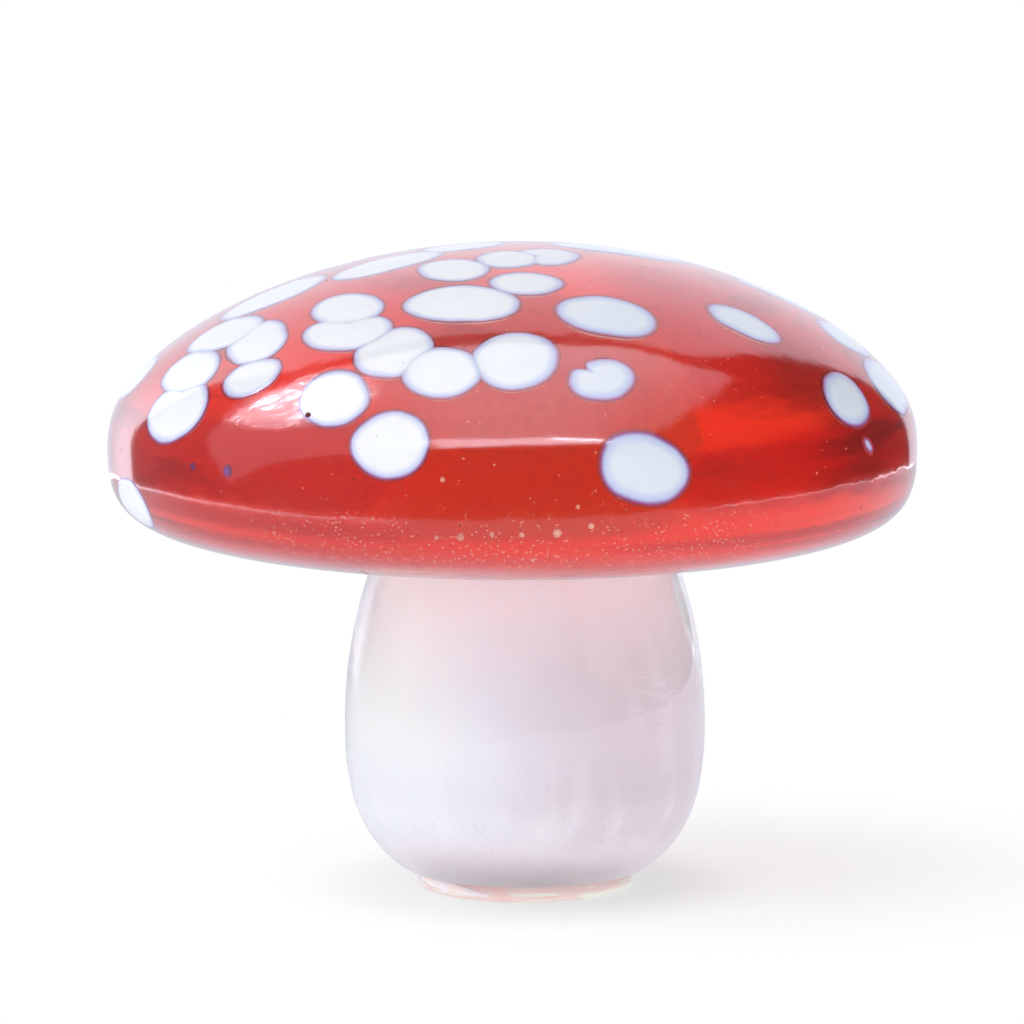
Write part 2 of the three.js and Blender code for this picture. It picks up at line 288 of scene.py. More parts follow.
class Bench:
    """Lays out the nodes of one shader tree."""

    def __init__(self, tree):
        self.tree = tree
        tree.nodes.clear()

    def node(self, kind, settings=None, sockets=None):
        """A node of a kind, its settings made first and then its sockets fed."""
        made = self.tree.nodes.new("ShaderNode" + kind)
        for name, value in (settings or {}).items():
            setattr(made, name, value)
        for name, value in (sockets or {}).items():
            self.feed(made.inputs[name], value)
        return made

    def feed(self, socket, value):
        if isinstance(value, Wire):
            self.tree.links.new(value.socket, socket)
        else:
            socket.default_value = value

    def out(self, node, name):
        return Wire(self, node.outputs[name])

    def outs(self, node, names):
        return [self.out(node, name) for name in names]

    def axes(self, vector):
        """A vector's parts: to the right, to the back and up."""
        return self.outs(self.node("SeparateXYZ", None, {0: vector}), "XYZ")

    def vector(self, side, depth, height):
        return self.out(self.node("CombineXYZ", None, {0: side, 1: depth, 2: height}), 0)

    def ray(self, *names):
        """What is known of the ray that asks for light."""
        return self.outs(self.node("LightPath"), names)

    def sum(self, operation, first, second):
        return self.out(self.node("Math", {"operation": operation}, {0: first, 1: second}), 0)

    def between(self, value, low, high):
        """0 below low, 1 above high and a smooth rise between them."""
        settings = {"interpolation_type": "SMOOTHSTEP"}
        sockets = {"Value": value, "From Min": low, "From Max": high}
        return self.out(self.node("MapRange", settings, sockets), "Result")

    def past(self, value, soft):
        """0 below zero, with a soft rise to 1."""
        return self.between(value, 0.0, soft)

    def blend(self, share, first, second):
        """A colour between two colours."""
        settings = {"data_type": "RGBA"}
        return self.out(self.node("Mix", settings, {0: share, 6: opaque(first), 7: opaque(second)}), 2)

    def place(self):
        """The point on the piece, in metres."""
        return self.out(self.node("TexCoord"), "Object")

    def stretch(self, vector, factors):
        node = self.node("VectorMath", {"operation": "MULTIPLY"}, {0: vector, 1: factors})
        return self.out(node, "Vector")

    def noise(self, vector, scale, detail=2.0, roughness=0.5):
        sockets = {"Vector": vector, "Scale": scale, "Detail": detail, "Roughness": roughness}
        return self.out(self.node("TexNoise", None, sockets), "Fac")

    def bump(self, height, distance, strength=1.0):
        sockets = {"Height": height, "Distance": distance, "Strength": strength}
        return self.out(self.node("Bump", None, sockets), "Normal")

    def distance(self, first, second):
        node = self.node("VectorMath", {"operation": "DISTANCE"}, {0: first, 1: second})
        return self.out(node, "Value")

    def mix_shaders(self, share, first, second):
        """A shader between two shaders."""
        mix = self.node("MixShader", None, {0: share})
        self.tree.links.new(first.outputs[0], mix.inputs[1])
        self.tree.links.new(second.outputs[0], mix.inputs[2])
        return mix

    def finish(self, shader):
        """Joins a shader to the material's output, which is given back."""
        output = self.node("OutputMaterial")
        self.tree.links.new(shader.outputs[0], output.inputs["Surface"])
        return output

    def surface(self, sockets):
        """The main shader of a plain piece, joined to the output."""
        return self.finish(self.node("BsdfPrincipled", None, sockets))


def opaque(value):
    """A property's colour with full alpha, or a wire as it is."""
    return value if isinstance(value, Wire) else (*value, 1.0)


def darker(value, share):
    """A property's colour with a share of its brightness."""
    return [share * part for part in value]


def new_material(name):
    material = bpy.data.materials.new(name)
    material.use_nodes = True
    return material, Bench(material.node_tree)


# Glass. A pair of lengths says where a change over a surface starts and ends

# Where the patch of painted shade at the right of the cap lies, and how it fades
SHADE_PATCH_SPOT = (34 * MM, -26 * MM, 67 * MM)
SHADE_PATCH_FADE = (3 * MM, 11 * MM)
# Where the painted light on the left of the cap fades in
LIT_ROSE_SIDE = (-36 * MM, 0.0)
# Where the painted shade low on the left of the cap ends
WINE_SHADE_SIDE = (-24 * MM, 14 * MM)
EMBER_SIDE = (6 * MM, 20 * MM)
FRONT_DEPTH = (30 * MM, 45 * MM)
SAND_HEIGHT = (46 * MM, 57 * MM)
LOW_EDGE = 2 * MM


def ruby_colour(bench, cap, point, low, streaky):
    """Thin ruby glass: paler and pinker at the left as painted light, darker low there as painted shade,
    ember low at the right, with streaks and a patch of painted shade at the right.
    """
    side = bench.axes(point)[0]
    # A patch of painted shade at the right
    painted_shade_patch = 1 - bench.between(bench.distance(point, SHADE_PATCH_SPOT), *SHADE_PATCH_FADE)
    ember = bench.blend(low * bench.between(side, *EMBER_SIDE), cap.tint, cap.ember)
    # Paler and pinker on the left, as painted light
    warm = bench.blend(bench.between(side, *LIT_ROSE_SIDE), cap.lit_rose, ember)
    # Darker low on the left, as painted shade
    thin = bench.blend(low * (1 - bench.between(side, *WINE_SHADE_SIDE)), warm, cap.wine_shade)
    return bench.blend(0.8 * painted_shade_patch, bench.blend(streaky, thin, cap.streak), cap.painted_shade_patch)


def sand_cover(bench, point, height, front):
    """The share of sand in the skin: a thin veil, and grains strewn low on the front."""
    flattened = bench.stretch(point, (1.0, 0.2, 1.0))
    cells = bench.node("TexVoronoi", None, {"Vector": flattened, "Scale": 1900.0})
    grains = 1 - bench.between(bench.out(cells, "Distance"), 0.12, 0.34)
    strip = 1 - bench.between(height, *SAND_HEIGHT)
    strewn = bench.between(bench.noise(point, 500.0, 1.0) + 0.45 * strip, 0.60, 0.86)
    return 0.03 * (1 + front) / 2 + 0.45 * front * grains * strewn


def ruby_glass(cap):
    """Clear red glass that deepens with its thickness, sandy low on its front, under a wavy polished skin."""
    material, bench = new_material("ruby_glass")
    point = bench.place()
    _, depth, height = bench.axes(point)
    low = 1 - bench.between(height, cap.seat + LOW_EDGE, cap.rim)
    front = bench.between(-depth, *FRONT_DEPTH)
    streaks = bench.noise(bench.stretch(point, (1.0, 1.0, 5.0)), 50.0, 4.0, 0.6)
    streaky = bench.between(streaks, 0.52, 0.64) * (1 - 0.8 * front) * (1 - low)
    ripple = bench.noise(point, 130.0, 2.0)
    grain = bench.noise(point, 900.0, 1.0)
    body = bench.node("BsdfPrincipled", None, {
        "Base Color": ruby_colour(bench, cap, point, low, streaky),
        "Roughness": 0.10 + 0.06 * streaks + 0.20 * low * front,
        "IOR": GLASS_IOR,
        "Transmission Weight": 1.0,
        "Normal": bench.bump(ripple + 0.05 * grain, 0.12 * MM, 0.5),
    })
    sand = bench.node("BsdfPrincipled", None, {
        "Base Color": bench.blend(bench.noise(point, 2500.0, 1.0), cap.sand, cap.rust),
        "Roughness": 0.4 + 0.2 * grain,
    })
    sandy = bench.mix_shaders(sand_cover(bench, point, height, front), body, sand)
    calm = bench.between(bench.noise(point, 45.0, 1.0), 0.35, 0.65)
    waves = bench.noise(point, 240.0, 2.0) * (1 - 0.6 * calm) + 0.06 * grain
    skin = bench.node("BsdfGlossy", None, {"Roughness": 0.02, "Normal": bench.bump(waves, cap.waves)})
    outside = 1 - bench.out(bench.node("NewGeometry"), "Backfacing")
    gloss = bench.out(bench.node("Fresnel", None, {"IOR": GLASS_IOR}), 0)
    deep = bench.node("VolumeAbsorption", None, {"Color": opaque(cap.depth_tint), "Density": cap.density})
    output = bench.finish(bench.mix_shaders(0.9 * gloss * outside, sandy, skin))
    bench.tree.links.new(deep.outputs["Volume"], output.inputs["Volume"])
    return material


CHIP_WIDE_SIDE = (-8 * MM, 12 * MM)
# Where the painted shade on the right of the chips sets in
CHIP_PAINTED_SHADE_SIDE = (-5 * MM, 15 * MM)
CHIP_LILAC_HEIGHT = (61 * MM, 68 * MM)

# Shares of the melted edge, from the rim inwards, over which the dark red painted shade and violet end and
# white fills in
CRIMSON_SHADE_ENDS = (0.06, 0.26)
VIOLET_ENDS = (0.16, 0.44)
WHITE_FILLS = (0.28, 0.95)


def white_glass(chips):
    """Opaque white glass, clouded with blue and darker on its right as painted shade, melted to violet at its
    edge and ringed with dark red painted shade.
    """
    material, bench = new_material("white_glass")
    point = bench.place()
    side, _, height = bench.axes(point)
    clouds = bench.noise(point, 260.0, 3.0)
    edge = bench.out(bench.node("Attribute", {"attribute_name": "rim_distance"}), "Fac")
    wander = 0.6 + 0.5 * bench.noise(point, 420.0, 2.0) + 0.4 * bench.between(side, *CHIP_WIDE_SIDE)
    inwards = edge / (wander * chips.edge)
    # Random bluish clouds, and painted shade on the right of the chips
    clouds_and_painted_shade = 0.25 * bench.between(clouds, 0.35, 0.75) + 0.9 * bench.between(side, *CHIP_PAINTED_SHADE_SIDE)
    body = bench.blend(clouds_and_painted_shade, chips.white, chips.shade)
    thinning = bench.blend(bench.between(inwards, *WHITE_FILLS), chips.periwinkle, body)
    melt = bench.blend(bench.between(height, *CHIP_LILAC_HEIGHT), chips.violet, chips.lilac)
    melted = bench.blend(bench.between(inwards, *VIOLET_ENDS), melt, thinning)
    bench.surface({
        # The dark red at the rim: the red glass through the thin white, and painted shade round the chip
        "Base Color": bench.blend(bench.between(inwards, *CRIMSON_SHADE_ENDS), chips.crimson_shade, melted),
        "Roughness": 0.05 + 0.06 * clouds,
        "IOR": GLASS_IOR,
        "Subsurface Weight": 0.35,
        "Subsurface Radius": (1.0, 1.0, 1.0),
        "Subsurface Scale": 3 * MM,
        "Normal": bench.bump(bench.noise(point, 500.0, 1.0), 0.02 * MM, 0.4),
    })
    return material


def speck_glass(name, first, second):
    """Specks caught in the glass, of mixed tones."""
    material, bench = new_material(name)
    tone = bench.noise(bench.place(), 700.0, 1.0)
    bench.surface({
        "Base Color": bench.blend(bench.between(tone, 0.3, 0.7), first, second),
        "Roughness": 0.25 + 0.2 * tone,
    })
    return material


# Where the painted light and shade of the core change: over its sides, at the belly, near the foot and
# towards the cap; and where its sandy head starts
MILK_LIGHT_SIDE = (-10 * MM, 18 * MM)
BELLY_SHADE_SIDE = (0.0, 12 * MM)
PAINTED_GLOW_HEIGHT = (6 * MM, 10 * MM)
BELLY_SHADE_HEIGHT = (11 * MM, 20 * MM)
CAP_LIGHT_HEIGHT = (32 * MM, 50 * MM)
HEAD_HEIGHT = (41 * MM, 43 * MM)


def opal_glass(core):
    """Milky glass, sandy in the cap and with faint wisps; bluer on its left and darker on its right, pinker
    towards the cap, darker at the belly and paler near the foot, all as painted light and shade.
    """
    material, bench = new_material("opal_glass")
    point = bench.place()
    side, _, height = bench.axes(point)
    clouds = bench.noise(point, 70.0, 2.0)
    grain = bench.noise(point, 2200.0, 2.0)
    wisps = bench.noise(bench.stretch(point, (1.0, 1.0, 0.3)), 260.0, 2.0)
    # Bluer on the left and darker on the right, as painted light and shade
    side_lit_milk = bench.blend(bench.between(side + 0.01 * clouds, *MILK_LIGHT_SIDE), core.white, core.lilac)
    # Pinker towards the cap, as painted red light from it
    blush = bench.blend(bench.between(height + 0.012 * clouds, *CAP_LIGHT_HEIGHT), side_lit_milk, core.pink)
    # Painted shade at the belly, deeper on the right
    shaded = (0.30 + 0.15 * bench.between(side, *BELLY_SHADE_SIDE)) * (1 - bench.between(height, *BELLY_SHADE_HEIGHT))
    belly = bench.blend(shaded, blush, core.belly_shade)
    # A painted glow low on the core, near the foot
    warmed = bench.blend(bench.between(height, *PAINTED_GLOW_HEIGHT), core.glow, belly)
    streaked = bench.blend(0.3 * bench.between(wisps, 0.45, 0.70), warmed, core.streak)
    sand = bench.blend(0.6 * bench.between(grain, 0.45, 0.65), core.sandy, darker(core.sandy, 0.55))
    bench.surface({
        "Base Color": bench.blend(bench.between(height, *HEAD_HEIGHT), streaked, sand),
        "Roughness": 0.30 + 0.2 * clouds,
        "Subsurface Weight": 1.0,
        "Subsurface Radius": (1.0, 0.9, 0.88),
        "Subsurface Scale": 12 * MM,
        "Normal": bench.bump(wisps, 0.03 * MM, 0.5),
    })
    return material


SCUFF_SPOT = (16 * MM, -15 * MM, 27 * MM)
SCUFF_FADE = (2 * MM, 6 * MM)
TICK_HEIGHT = (13 * MM, 27 * MM)
# Where the painted pink light from the cap fades in, and the painted light from the left gives way to lilac
STEM_CAP_LIGHT_HEIGHT = (22 * MM, 44 * MM)
STEM_LIGHT_SIDE = (-10 * MM, 20 * MM)
STEM_DULL_SIDE = (2 * MM, 10 * MM)


def clear_glass(stem):
    """Clear glass with a milky bloom, tinted bluish on the left, lilac on the right and pink near the cap as
    painted light, with ripples, scuffs and fine ticks of hot work, duller on its left.
    """
    material, bench = new_material("clear_glass")
    point = bench.place()
    side, depth, height = bench.axes(point)
    leaning = bench.vector(side + 0.5 * height, depth, 0.35 * height)
    lower = 1 - bench.between(height + 0.15 * side, *TICK_HEIGHT)
    ticks = bench.between(bench.noise(leaning, 2200.0, 1.0), 0.55, 0.75) * lower
    scratches = bench.noise(bench.stretch(point, (0.6, 0.6, 2.0)), 420.0, 2.0)
    near_scuff = 1 - bench.between(bench.distance(point, SCUFF_SPOT), *SCUFF_FADE)
    scuff = near_scuff * bench.between(scratches, 0.50, 0.62)
    ripple = bench.noise(bench.stretch(point, (1.0, 1.0, 0.5)), 110.0, 2.0)
    cloud = bench.noise(point, 60.0, 1.0)
    # Bluish on the left, lilac on the right and pink near the cap, as painted light
    side_lit_bloom = bench.blend(bench.between(side, *STEM_LIGHT_SIDE), stem.bloom, stem.lilac)
    bloom = bench.blend(bench.between(height + 0.01 * cloud, *STEM_CAP_LIGHT_HEIGHT), side_lit_bloom, stem.blush)
    bench.surface({
        "Base Color": bench.blend(ticks, bloom, stem.tick),
        "Roughness": 0.06 + 0.03 * cloud + 0.14 * bench.between(-side, *STEM_DULL_SIDE),
        "IOR": GLASS_IOR,
        "Transmission Weight": 0.93,
        "Subsurface Weight": 1.0,
        "Subsurface Radius": (1.0, 1.0, 1.0),
        "Subsurface Scale": 6 * MM,
        "Normal": bench.bump(ripple + 0.14 * ticks + 2 * scuff, 0.12 * MM, 0.5),
    })
    return material


def foot_glass(foot):
    """Pale pink glass, a little clear, with painted level glints of light in it."""
    material, bench = new_material("foot_glass")
    point = bench.place()
    clouds = bench.noise(point, 240.0, 3.0)
    # Painted glints: level streaks of light painted into the colour of the foot
    glints = bench.between(bench.noise(bench.stretch(point, (1.0, 1.0, 12.0)), 130.0, 1.0), 0.53, 0.60)
    pink = bench.blend(bench.between(clouds, 0.35, 0.65), foot.blush, foot.pale)
    bench.surface({
        "Base Color": bench.blend(glints, pink, foot.painted_glint),
        "Roughness": 0.08 + 0.08 * clouds,
        "IOR": GLASS_IOR,
        "Transmission Weight": 0.12,
        "Subsurface Weight": 0.2,
        "Subsurface Radius": (1.0, 0.8, 0.8),
        "Subsurface Scale": 3 * MM,
        "Normal": bench.bump(clouds, 0.10 * MM, 0.5),
    })
    return material


def flake_glass(foot):
    """The glossy lavender flake where the foot was broken off."""
    material, bench = new_material("flake_glass")
    point = bench.place()
    shells = bench.noise(bench.stretch(point, (1.0, 1.0, 2.0)), 420.0, 2.0)
    bench.surface({
        "Base Color": bench.blend(bench.between(shells, 0.35, 0.65), foot.flake, foot.pale),
        "Roughness": 0.08 + 0.12 * shells,
        "IOR": GLASS_IOR,
        "Subsurface Weight": 0.2,
        "Subsurface Radius": (1.0, 0.9, 1.0),
        "Subsurface Scale": 2 * MM,
        "Normal": bench.bump(shells, 0.15 * MM, 0.8),
    })
    return material


# Meshes

# How finely pieces are cut: rings of the cap, and points round each round piece
CAP_RINGS = 80
CAP_SIDES = 240
CORE_SIDES = 96
STEM_SIDES = 144
FOOT_SIDES = 128

# Rounds of softening of an outline
CAP_SOFTENING = 50
STEM_SOFTENING = 6


def add_piece(name, points, faces, material, stands_for=()):
    """A smooth piece of the ornament that rides on its one body."""
    mesh = bpy.data.meshes.new(name)
    mesh.from_pydata(points, [], faces)
    mesh.validate()
    mesh.polygons.foreach_set("use_smooth", [True] * len(mesh.polygons))
    mesh.materials.append(material)
    piece = bpy.data.objects.new(name, mesh)
    bpy.context.scene.collection.objects.link(piece)
    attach(piece, BODY)
    if stands_for:
        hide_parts(*stands_for)
    return piece


def revolve(outline, sides):
    """Points and faces of an outline of (radius, height) turned about Z, from one pole up to the other."""
    rings = outline[1:-1]
    points = [(0.0, 0.0, outline[0][1])]
    for radius, height in rings:
        for side in range(sides):
            angle = 2 * math.pi * side / sides
            points.append((radius * math.cos(angle), radius * math.sin(angle), height))
    points.append((0.0, 0.0, outline[-1][1]))
    return points, ring_faces(len(rings), sides)


def ring_faces(rings, sides):
    """Faces of a closed skin: a pole, rings of points that turn left round the way, and another pole."""
    last = 1 + rings * sides
    faces = []
    for side in range(sides):
        turn = (side + 1) % sides
        faces.append((0, 1 + turn, 1 + side))
        for ring in range(rings - 1):
            low = 1 + ring * sides
            high = low + sides
            faces.append((low + side, low + turn, high + turn, high + side))
        final = last - sides
        faces.append((final + side, final + turn, last))
    return faces


def curve(steps, point_at):
    """Points of a curve at even steps of its share, from 0 to 1."""
    return [point_at(step / steps) for step in range(steps + 1)]


def part_way(ends, share):
    """A value between two ends."""
    return ends[0] + (ends[1] - ends[0]) * share


def ease(start, end, share):
    """A smooth change from one value to another."""
    return start + (end - start) * (1 - math.cos(math.pi * share)) / 2


def cap_outline(cap, rings):
    """The cap from the middle of its seat, round the rim, up to the crown."""
    seat_angle = math.asin((cap.rim - cap.seat) / cap.drop)

    def underside(share):
        drop = math.sin(seat_angle * (1 - share))
        return cap.radius * math.sqrt(1 - drop ** cap.underside_power), cap.rim - cap.drop * drop

    def dome(share):
        rise = math.cos(QUARTER * (1 - share))
        reach = math.sqrt(max(0.0, 1 - rise ** cap.dome_power))
        return cap.radius * reach, cap.rim + (cap.crown - cap.rim) * rise

    seat_radius = underside(0.0)[0]
    flat = [(seat_radius * share, cap.seat) for share in (0.0, 0.4, 0.8, 0.97)]
    side = evenly_spaced(curve(8 * rings, underside)[:-1] + curve(16 * rings, dome), 3 * rings)
    return flat + softened(side, CAP_SOFTENING)


def evenly_spaced(line, steps):
    """The same line with points at even distances along it."""
    reaches = [0.0]
    for start, end in zip(line, line[1:]):
        reaches.append(reaches[-1] + math.dist(start, end))
    points = []
    place = 0
    for step in range(steps + 1):
        reach = reaches[-1] * step / steps
        while place < len(line) - 2 and reaches[place + 1] < reach:
            place += 1
        share = (reach - reaches[place]) / (reaches[place + 1] - reaches[place])
        points.append(tuple(a + (b - a) * share for a, b in zip(line[place], line[place + 1])))
    return points


def softened(line, rounds):
    """The same line with sudden bends eased and its ends kept."""
    for _ in range(rounds):
        inner = [tuple((a + 2 * b + c) / 4 for a, b, c in zip(*three))
                 for three in zip(line, line[1:], line[2:])]
        line = [line[0], *inner, line[-1]]
    return line


# Fine and broad waves of the cap's skin and waves of the stem, in waves per metre
FINE_WAVES = 260
BROAD_WAVES = 110
STEM_WAVES = 160


def hand_formed(cap, point):
    """Moves a point of the round cap to where the hand-formed one has it, lobed, leaning and wavy."""
    x, y, z = point
    bearing = math.atan2(y, x)
    reach = math.hypot(x, y) / cap.radius
    wave = math.sin(3 * bearing + 0.6) + 0.6 * math.sin(5 * bearing + 2.1 + 90 * z)
    growth = 1 + wave * reach ** 2 * cap.ripple / cap.radius
    shift = part_way((cap.crown_centre, cap.rim_centre), reach ** 2)
    spot = Vector(point)
    waves = noise.noise(spot * FINE_WAVES) + 1.6 * noise.noise(spot * BROAD_WAVES)
    skin = cap.skin * waves * min(1.0, 4 * reach)
    growth += skin / cap.radius
    return x * growth + shift, y * growth, z + 0.5 * skin


def cap_mesh(cap):
    points, faces = revolve(cap_outline(cap, CAP_RINGS), CAP_SIDES)
    return [hand_formed(cap, point) for point in points], faces


def cap_surface(cap):
    """The cap's surface, ready to be searched."""
    return BVHTree.FromPolygons(*cap_mesh(cap))


class CapBuilder(bpy.types.Operator):
    """Builds the ruby cap"""

    bl_idname = "toadstool.cap"
    bl_label = "Ruby cap"

    def execute(self, context):
        cap = context.scene.toadstool_cap
        points, faces = cap_mesh(cap)
        add_piece("ruby_cap", points, faces, ruby_glass(cap), ["cap_body"])
        return {"FINISHED"}


# Points round a chip and its rings as shares of its radius
SECTORS = 56
UNDER_RINGS = (0.4, 0.75, 0.94)
TOP_RINGS = (1.0, 0.97, 0.93, 0.87, 0.78, 0.64, 0.45, 0.22)

# How far a chip's rim sinks, as a share of how proud its middle stands, and how late towards the rim
RIM_SINK = 1.6
RIM_POWER = 8

# How far off the searches for the cap and for a packed chip start, and the steps to the packed chip's edge
CAP_PROBE = 6 * MM
CHIP_PROBE = 1.5 * MM
EDGE_STEP = 0.25 * MM
EDGE_HALVINGS = 5


class ChipShape:
    """One chip's place on the cap and its outline, read from its packed node."""

    def __init__(self, node, cap_tree):
        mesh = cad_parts[node].data
        corners = [corner.co.copy() for corner in mesh.vertices]
        self.cap_tree = cap_tree
        self.node_tree = BVHTree.FromPolygons(corners, [face.vertices[:] for face in mesh.polygons])
        middle = sum(corners, Vector()) / len(corners)
        self.centre, self.normal, _, _ = cap_tree.find_nearest(middle)
        level = Vector((-self.normal.y, self.normal.x, 0.0))
        self.across = level.normalized() if level.length > 0.1 else Vector((1.0, 0.0, 0.0))
        self.up = self.normal.cross(self.across).normalized()
        self.across = self.up.cross(self.normal).normalized()
        self.radii = self.smoothed([self.edge(self.angle(sector)) for sector in range(SECTORS)])

    @staticmethod
    def angle(sector):
        return 2 * math.pi * sector / SECTORS

    def on_cap(self, angle, radius):
        """The cap's surface and its normal at a distance from the chip's centre."""
        start = self.centre + radius * (math.cos(angle) * self.across + math.sin(angle) * self.up)
        above = start + CAP_PROBE * self.normal
        found, normal, _, _ = self.cap_tree.ray_cast(above, -self.normal, 3 * CAP_PROBE)
        if found is None:
            raise RuntimeError("a chip reaches past the cap's edge")
        return found, normal

    def covers(self, angle, radius):
        """Whether the packed chip lies under that point of the cap."""
        start, _ = self.on_cap(angle, radius)
        above = start + CHIP_PROBE * self.normal
        found, _, _, _ = self.node_tree.ray_cast(above, -self.normal, 2 * CHIP_PROBE)
        return found is not None

    def edge(self, angle):
        """How far the packed chip reaches in a direction."""
        radius = EDGE_STEP
        while self.covers(angle, radius + EDGE_STEP):
            radius += EDGE_STEP
        inside, outside = radius, radius + EDGE_STEP
        for _ in range(EDGE_HALVINGS):
            middle = (inside + outside) / 2
            if self.covers(angle, middle):
                inside = middle
            else:
                outside = middle
        return inside

    def depth_inside(self, point):
        """How far a point lies inside the outline, or a negative number outside it."""
        offset = point - self.centre
        across, up = offset.dot(self.across), offset.dot(self.up)
        sector = round(math.atan2(up, across) / (2 * math.pi) * SECTORS) % SECTORS
        return self.radii[sector] - math.hypot(across, up)

    @staticmethod
    def smoothed(radii):
        """The outline with its straight cuts rounded off."""
        weights = (1, 3, 5, 6, 5, 3, 1)
        half = len(weights) // 2
        rounded = []
        for sector in range(len(radii)):
            near = [radii[(sector + shift) % len(radii)] for shift in range(-half, half + 1)]
            rounded.append(sum(weight * radius for weight, radius in zip(weights, near)) / sum(weights))
        return rounded


# Waves round a chip's outline, each with its height as a share of the radius
WOBBLES = ((2, 0.018), (3, 0.014), (5, 0.010))

# A chip that took a nick as it melted, the nick's direction, width and depth, and two chips that ran together
NICKED_CHIP = "spot_28"
NICK_ANGLE = math.radians(135)
NICK_WIDTH = 0.20
NICK_DEPTH = 0.30
JOINED_CHIPS = {"spot_11": "spot_12", "spot_12": "spot_11"}


def uneven_outline(shape, chips, node):
    """The chip's radii, swollen and a little irregular."""
    wobble = random.Random(node)
    phases = [wobble.uniform(0, 2 * math.pi) for _ in WOBBLES]
    radii = []
    for sector, radius in enumerate(shape.radii):
        angle = shape.angle(sector)
        waves = sum(high * math.sin(times * angle + phase) for (times, high), phase in zip(WOBBLES, phases))
        if node == NICKED_CHIP:
            waves -= NICK_DEPTH * math.exp(-((angle - NICK_ANGLE) / NICK_WIDTH) ** 2)
        radii.append(radius * chips.swell * (1 + waves))
    return radii


def chip_mesh(shape, chips):
    """Points, faces and rim distances of one lens-shaped chip, from its deepest point to its face."""
    radii = shape.radii
    thickness = chips.depth * sum(radii) / SECTORS
    points = [shape.centre - thickness * shape.normal]
    distances = [2 * chips.edge]
    for share in UNDER_RINGS:
        for sector, radius in enumerate(radii):
            found, normal = shape.on_cap(shape.angle(sector), share * radius)
            points.append(found - thickness * math.sqrt(1 - share ** 2) * normal)
            distances.append(2 * chips.edge)
    for share in TOP_RINGS:
        for sector, radius in enumerate(radii):
            found, normal = shape.on_cap(shape.angle(sector), share * radius)
            points.append(found + chips.proud * (1 - RIM_SINK * share ** RIM_POWER) * normal)
            distances.append((1 - share) * radius)
    points.append(shape.centre + chips.proud * shape.normal)
    distances.append(min(radii))
    return points, ring_faces(len(UNDER_RINGS) + len(TOP_RINGS), SECTORS), distances


class ChipBuilder(bpy.types.Operator):
    """Builds the white chips in the cap"""

    bl_idname = "toadstool.chips"
    bl_label = "White chips"

    def execute(self, context):
        chips = context.scene.toadstool_chips
        cap_tree = cap_surface(context.scene.toadstool_cap)
        material = white_glass(chips)
        shapes = {node: ChipShape(node, cap_tree) for node in CHIP_NODES}
        for node, shape in shapes.items():
            shape.radii = uneven_outline(shape, chips, node)
        for node, shape in shapes.items():
            points, faces, distances = chip_mesh(shape, chips)
            if node in JOINED_CHIPS:
                partner = shapes[JOINED_CHIPS[node]]
                distances = [max(own, partner.depth_inside(point)) for own, point in zip(distances, points)]
            piece = add_piece("white_" + node, points, faces, material, [node])
            edge = piece.data.attributes.new("rim_distance", "FLOAT", "POINT")
            edge.data.foreach_set("value", distances)
        return {"FINISHED"}


# Bearing in degrees, height and radius in millimetres of the blisters on the front, the violet flecks and a
# bubble, which is a dark ball of painted shade
BLISTERS = ((263.0, 49.9, 0.50), (276.1, 50.4, 0.55), (280.7, 51.3, 0.42),
            (267.3, 50.4, 0.34), (271.3, 50.3, 0.34), (259.8, 49.9, 0.30),
            (278.8, 53.7, 0.30), (260.7, 56.9, 0.34), (272.8, 46.9, 0.30))
FLECKS = ((226.8, 56.3, 0.70), (219.7, 56.3, 0.45))
BUBBLE = (239.3, 63.4, 0.35)

# How far the bubble stands out, in its own radii, and the start of the scatter's random numbers
BUBBLE_RISE = 1.2
SCATTER_SEED = 4

# Stretches at the cap's seat and crown that stay free of specks and of pits
SPECK_MARGINS = (3 * MM, 1 * MM)
PIT_MARGINS = (5 * MM, 2 * MM)

# How far specks lie below their cover at most, how deep flecks lie, how far pits stand out, radii of pits
SPECK_DEPTH = 1.5 * MM
FLECK_DEPTH = 1.2 * MM
PIT_RISE = 0.06 * MM
PIT_SIZES = (0.06 * MM, 0.14 * MM)


class SpeckCloud:
    """Gathers many small balls under the cap's skin into one mesh."""

    def __init__(self, cap, cap_tree):
        self.cap = cap
        self.cap_tree = cap_tree
        half_circle = curve(6, lambda share: (math.sin(math.pi * share), -math.cos(math.pi * share)))
        self.ball = revolve(half_circle, 8)
        self.points = []
        self.faces = []

    def add(self, bearing, height, depth, size):
        """A ball at a bearing and height, so deep below the skin."""
        reach = self.cap.radius * cap_reach(self.cap, height)
        spot = Vector((reach * math.cos(bearing), reach * math.sin(bearing), height))
        found, normal, _, _ = self.cap_tree.find_nearest(Vector(hand_formed(self.cap, spot)))
        centre = found - (depth + size) * normal
        first = len(self.points)
        points, faces = self.ball
        self.points.extend(centre + size * Vector(point) for point in points)
        self.faces.extend(tuple(first + corner for corner in face) for face in faces)


def cap_reach(cap, height):
    """The cap's radius at a height, as a share of its widest."""
    if height > cap.rim:
        return math.sqrt(max(0.0, 1 - ((height - cap.rim) / (cap.crown - cap.rim)) ** cap.dome_power))
    return math.sqrt(max(0.0, 1 - ((cap.rim - height) / cap.drop) ** cap.underside_power))


def height_in_cap(cap, margins, share):
    """A height between the cap's seat and crown, with a margin at both."""
    return part_way((cap.seat + margins[0], cap.crown - margins[1]), share)


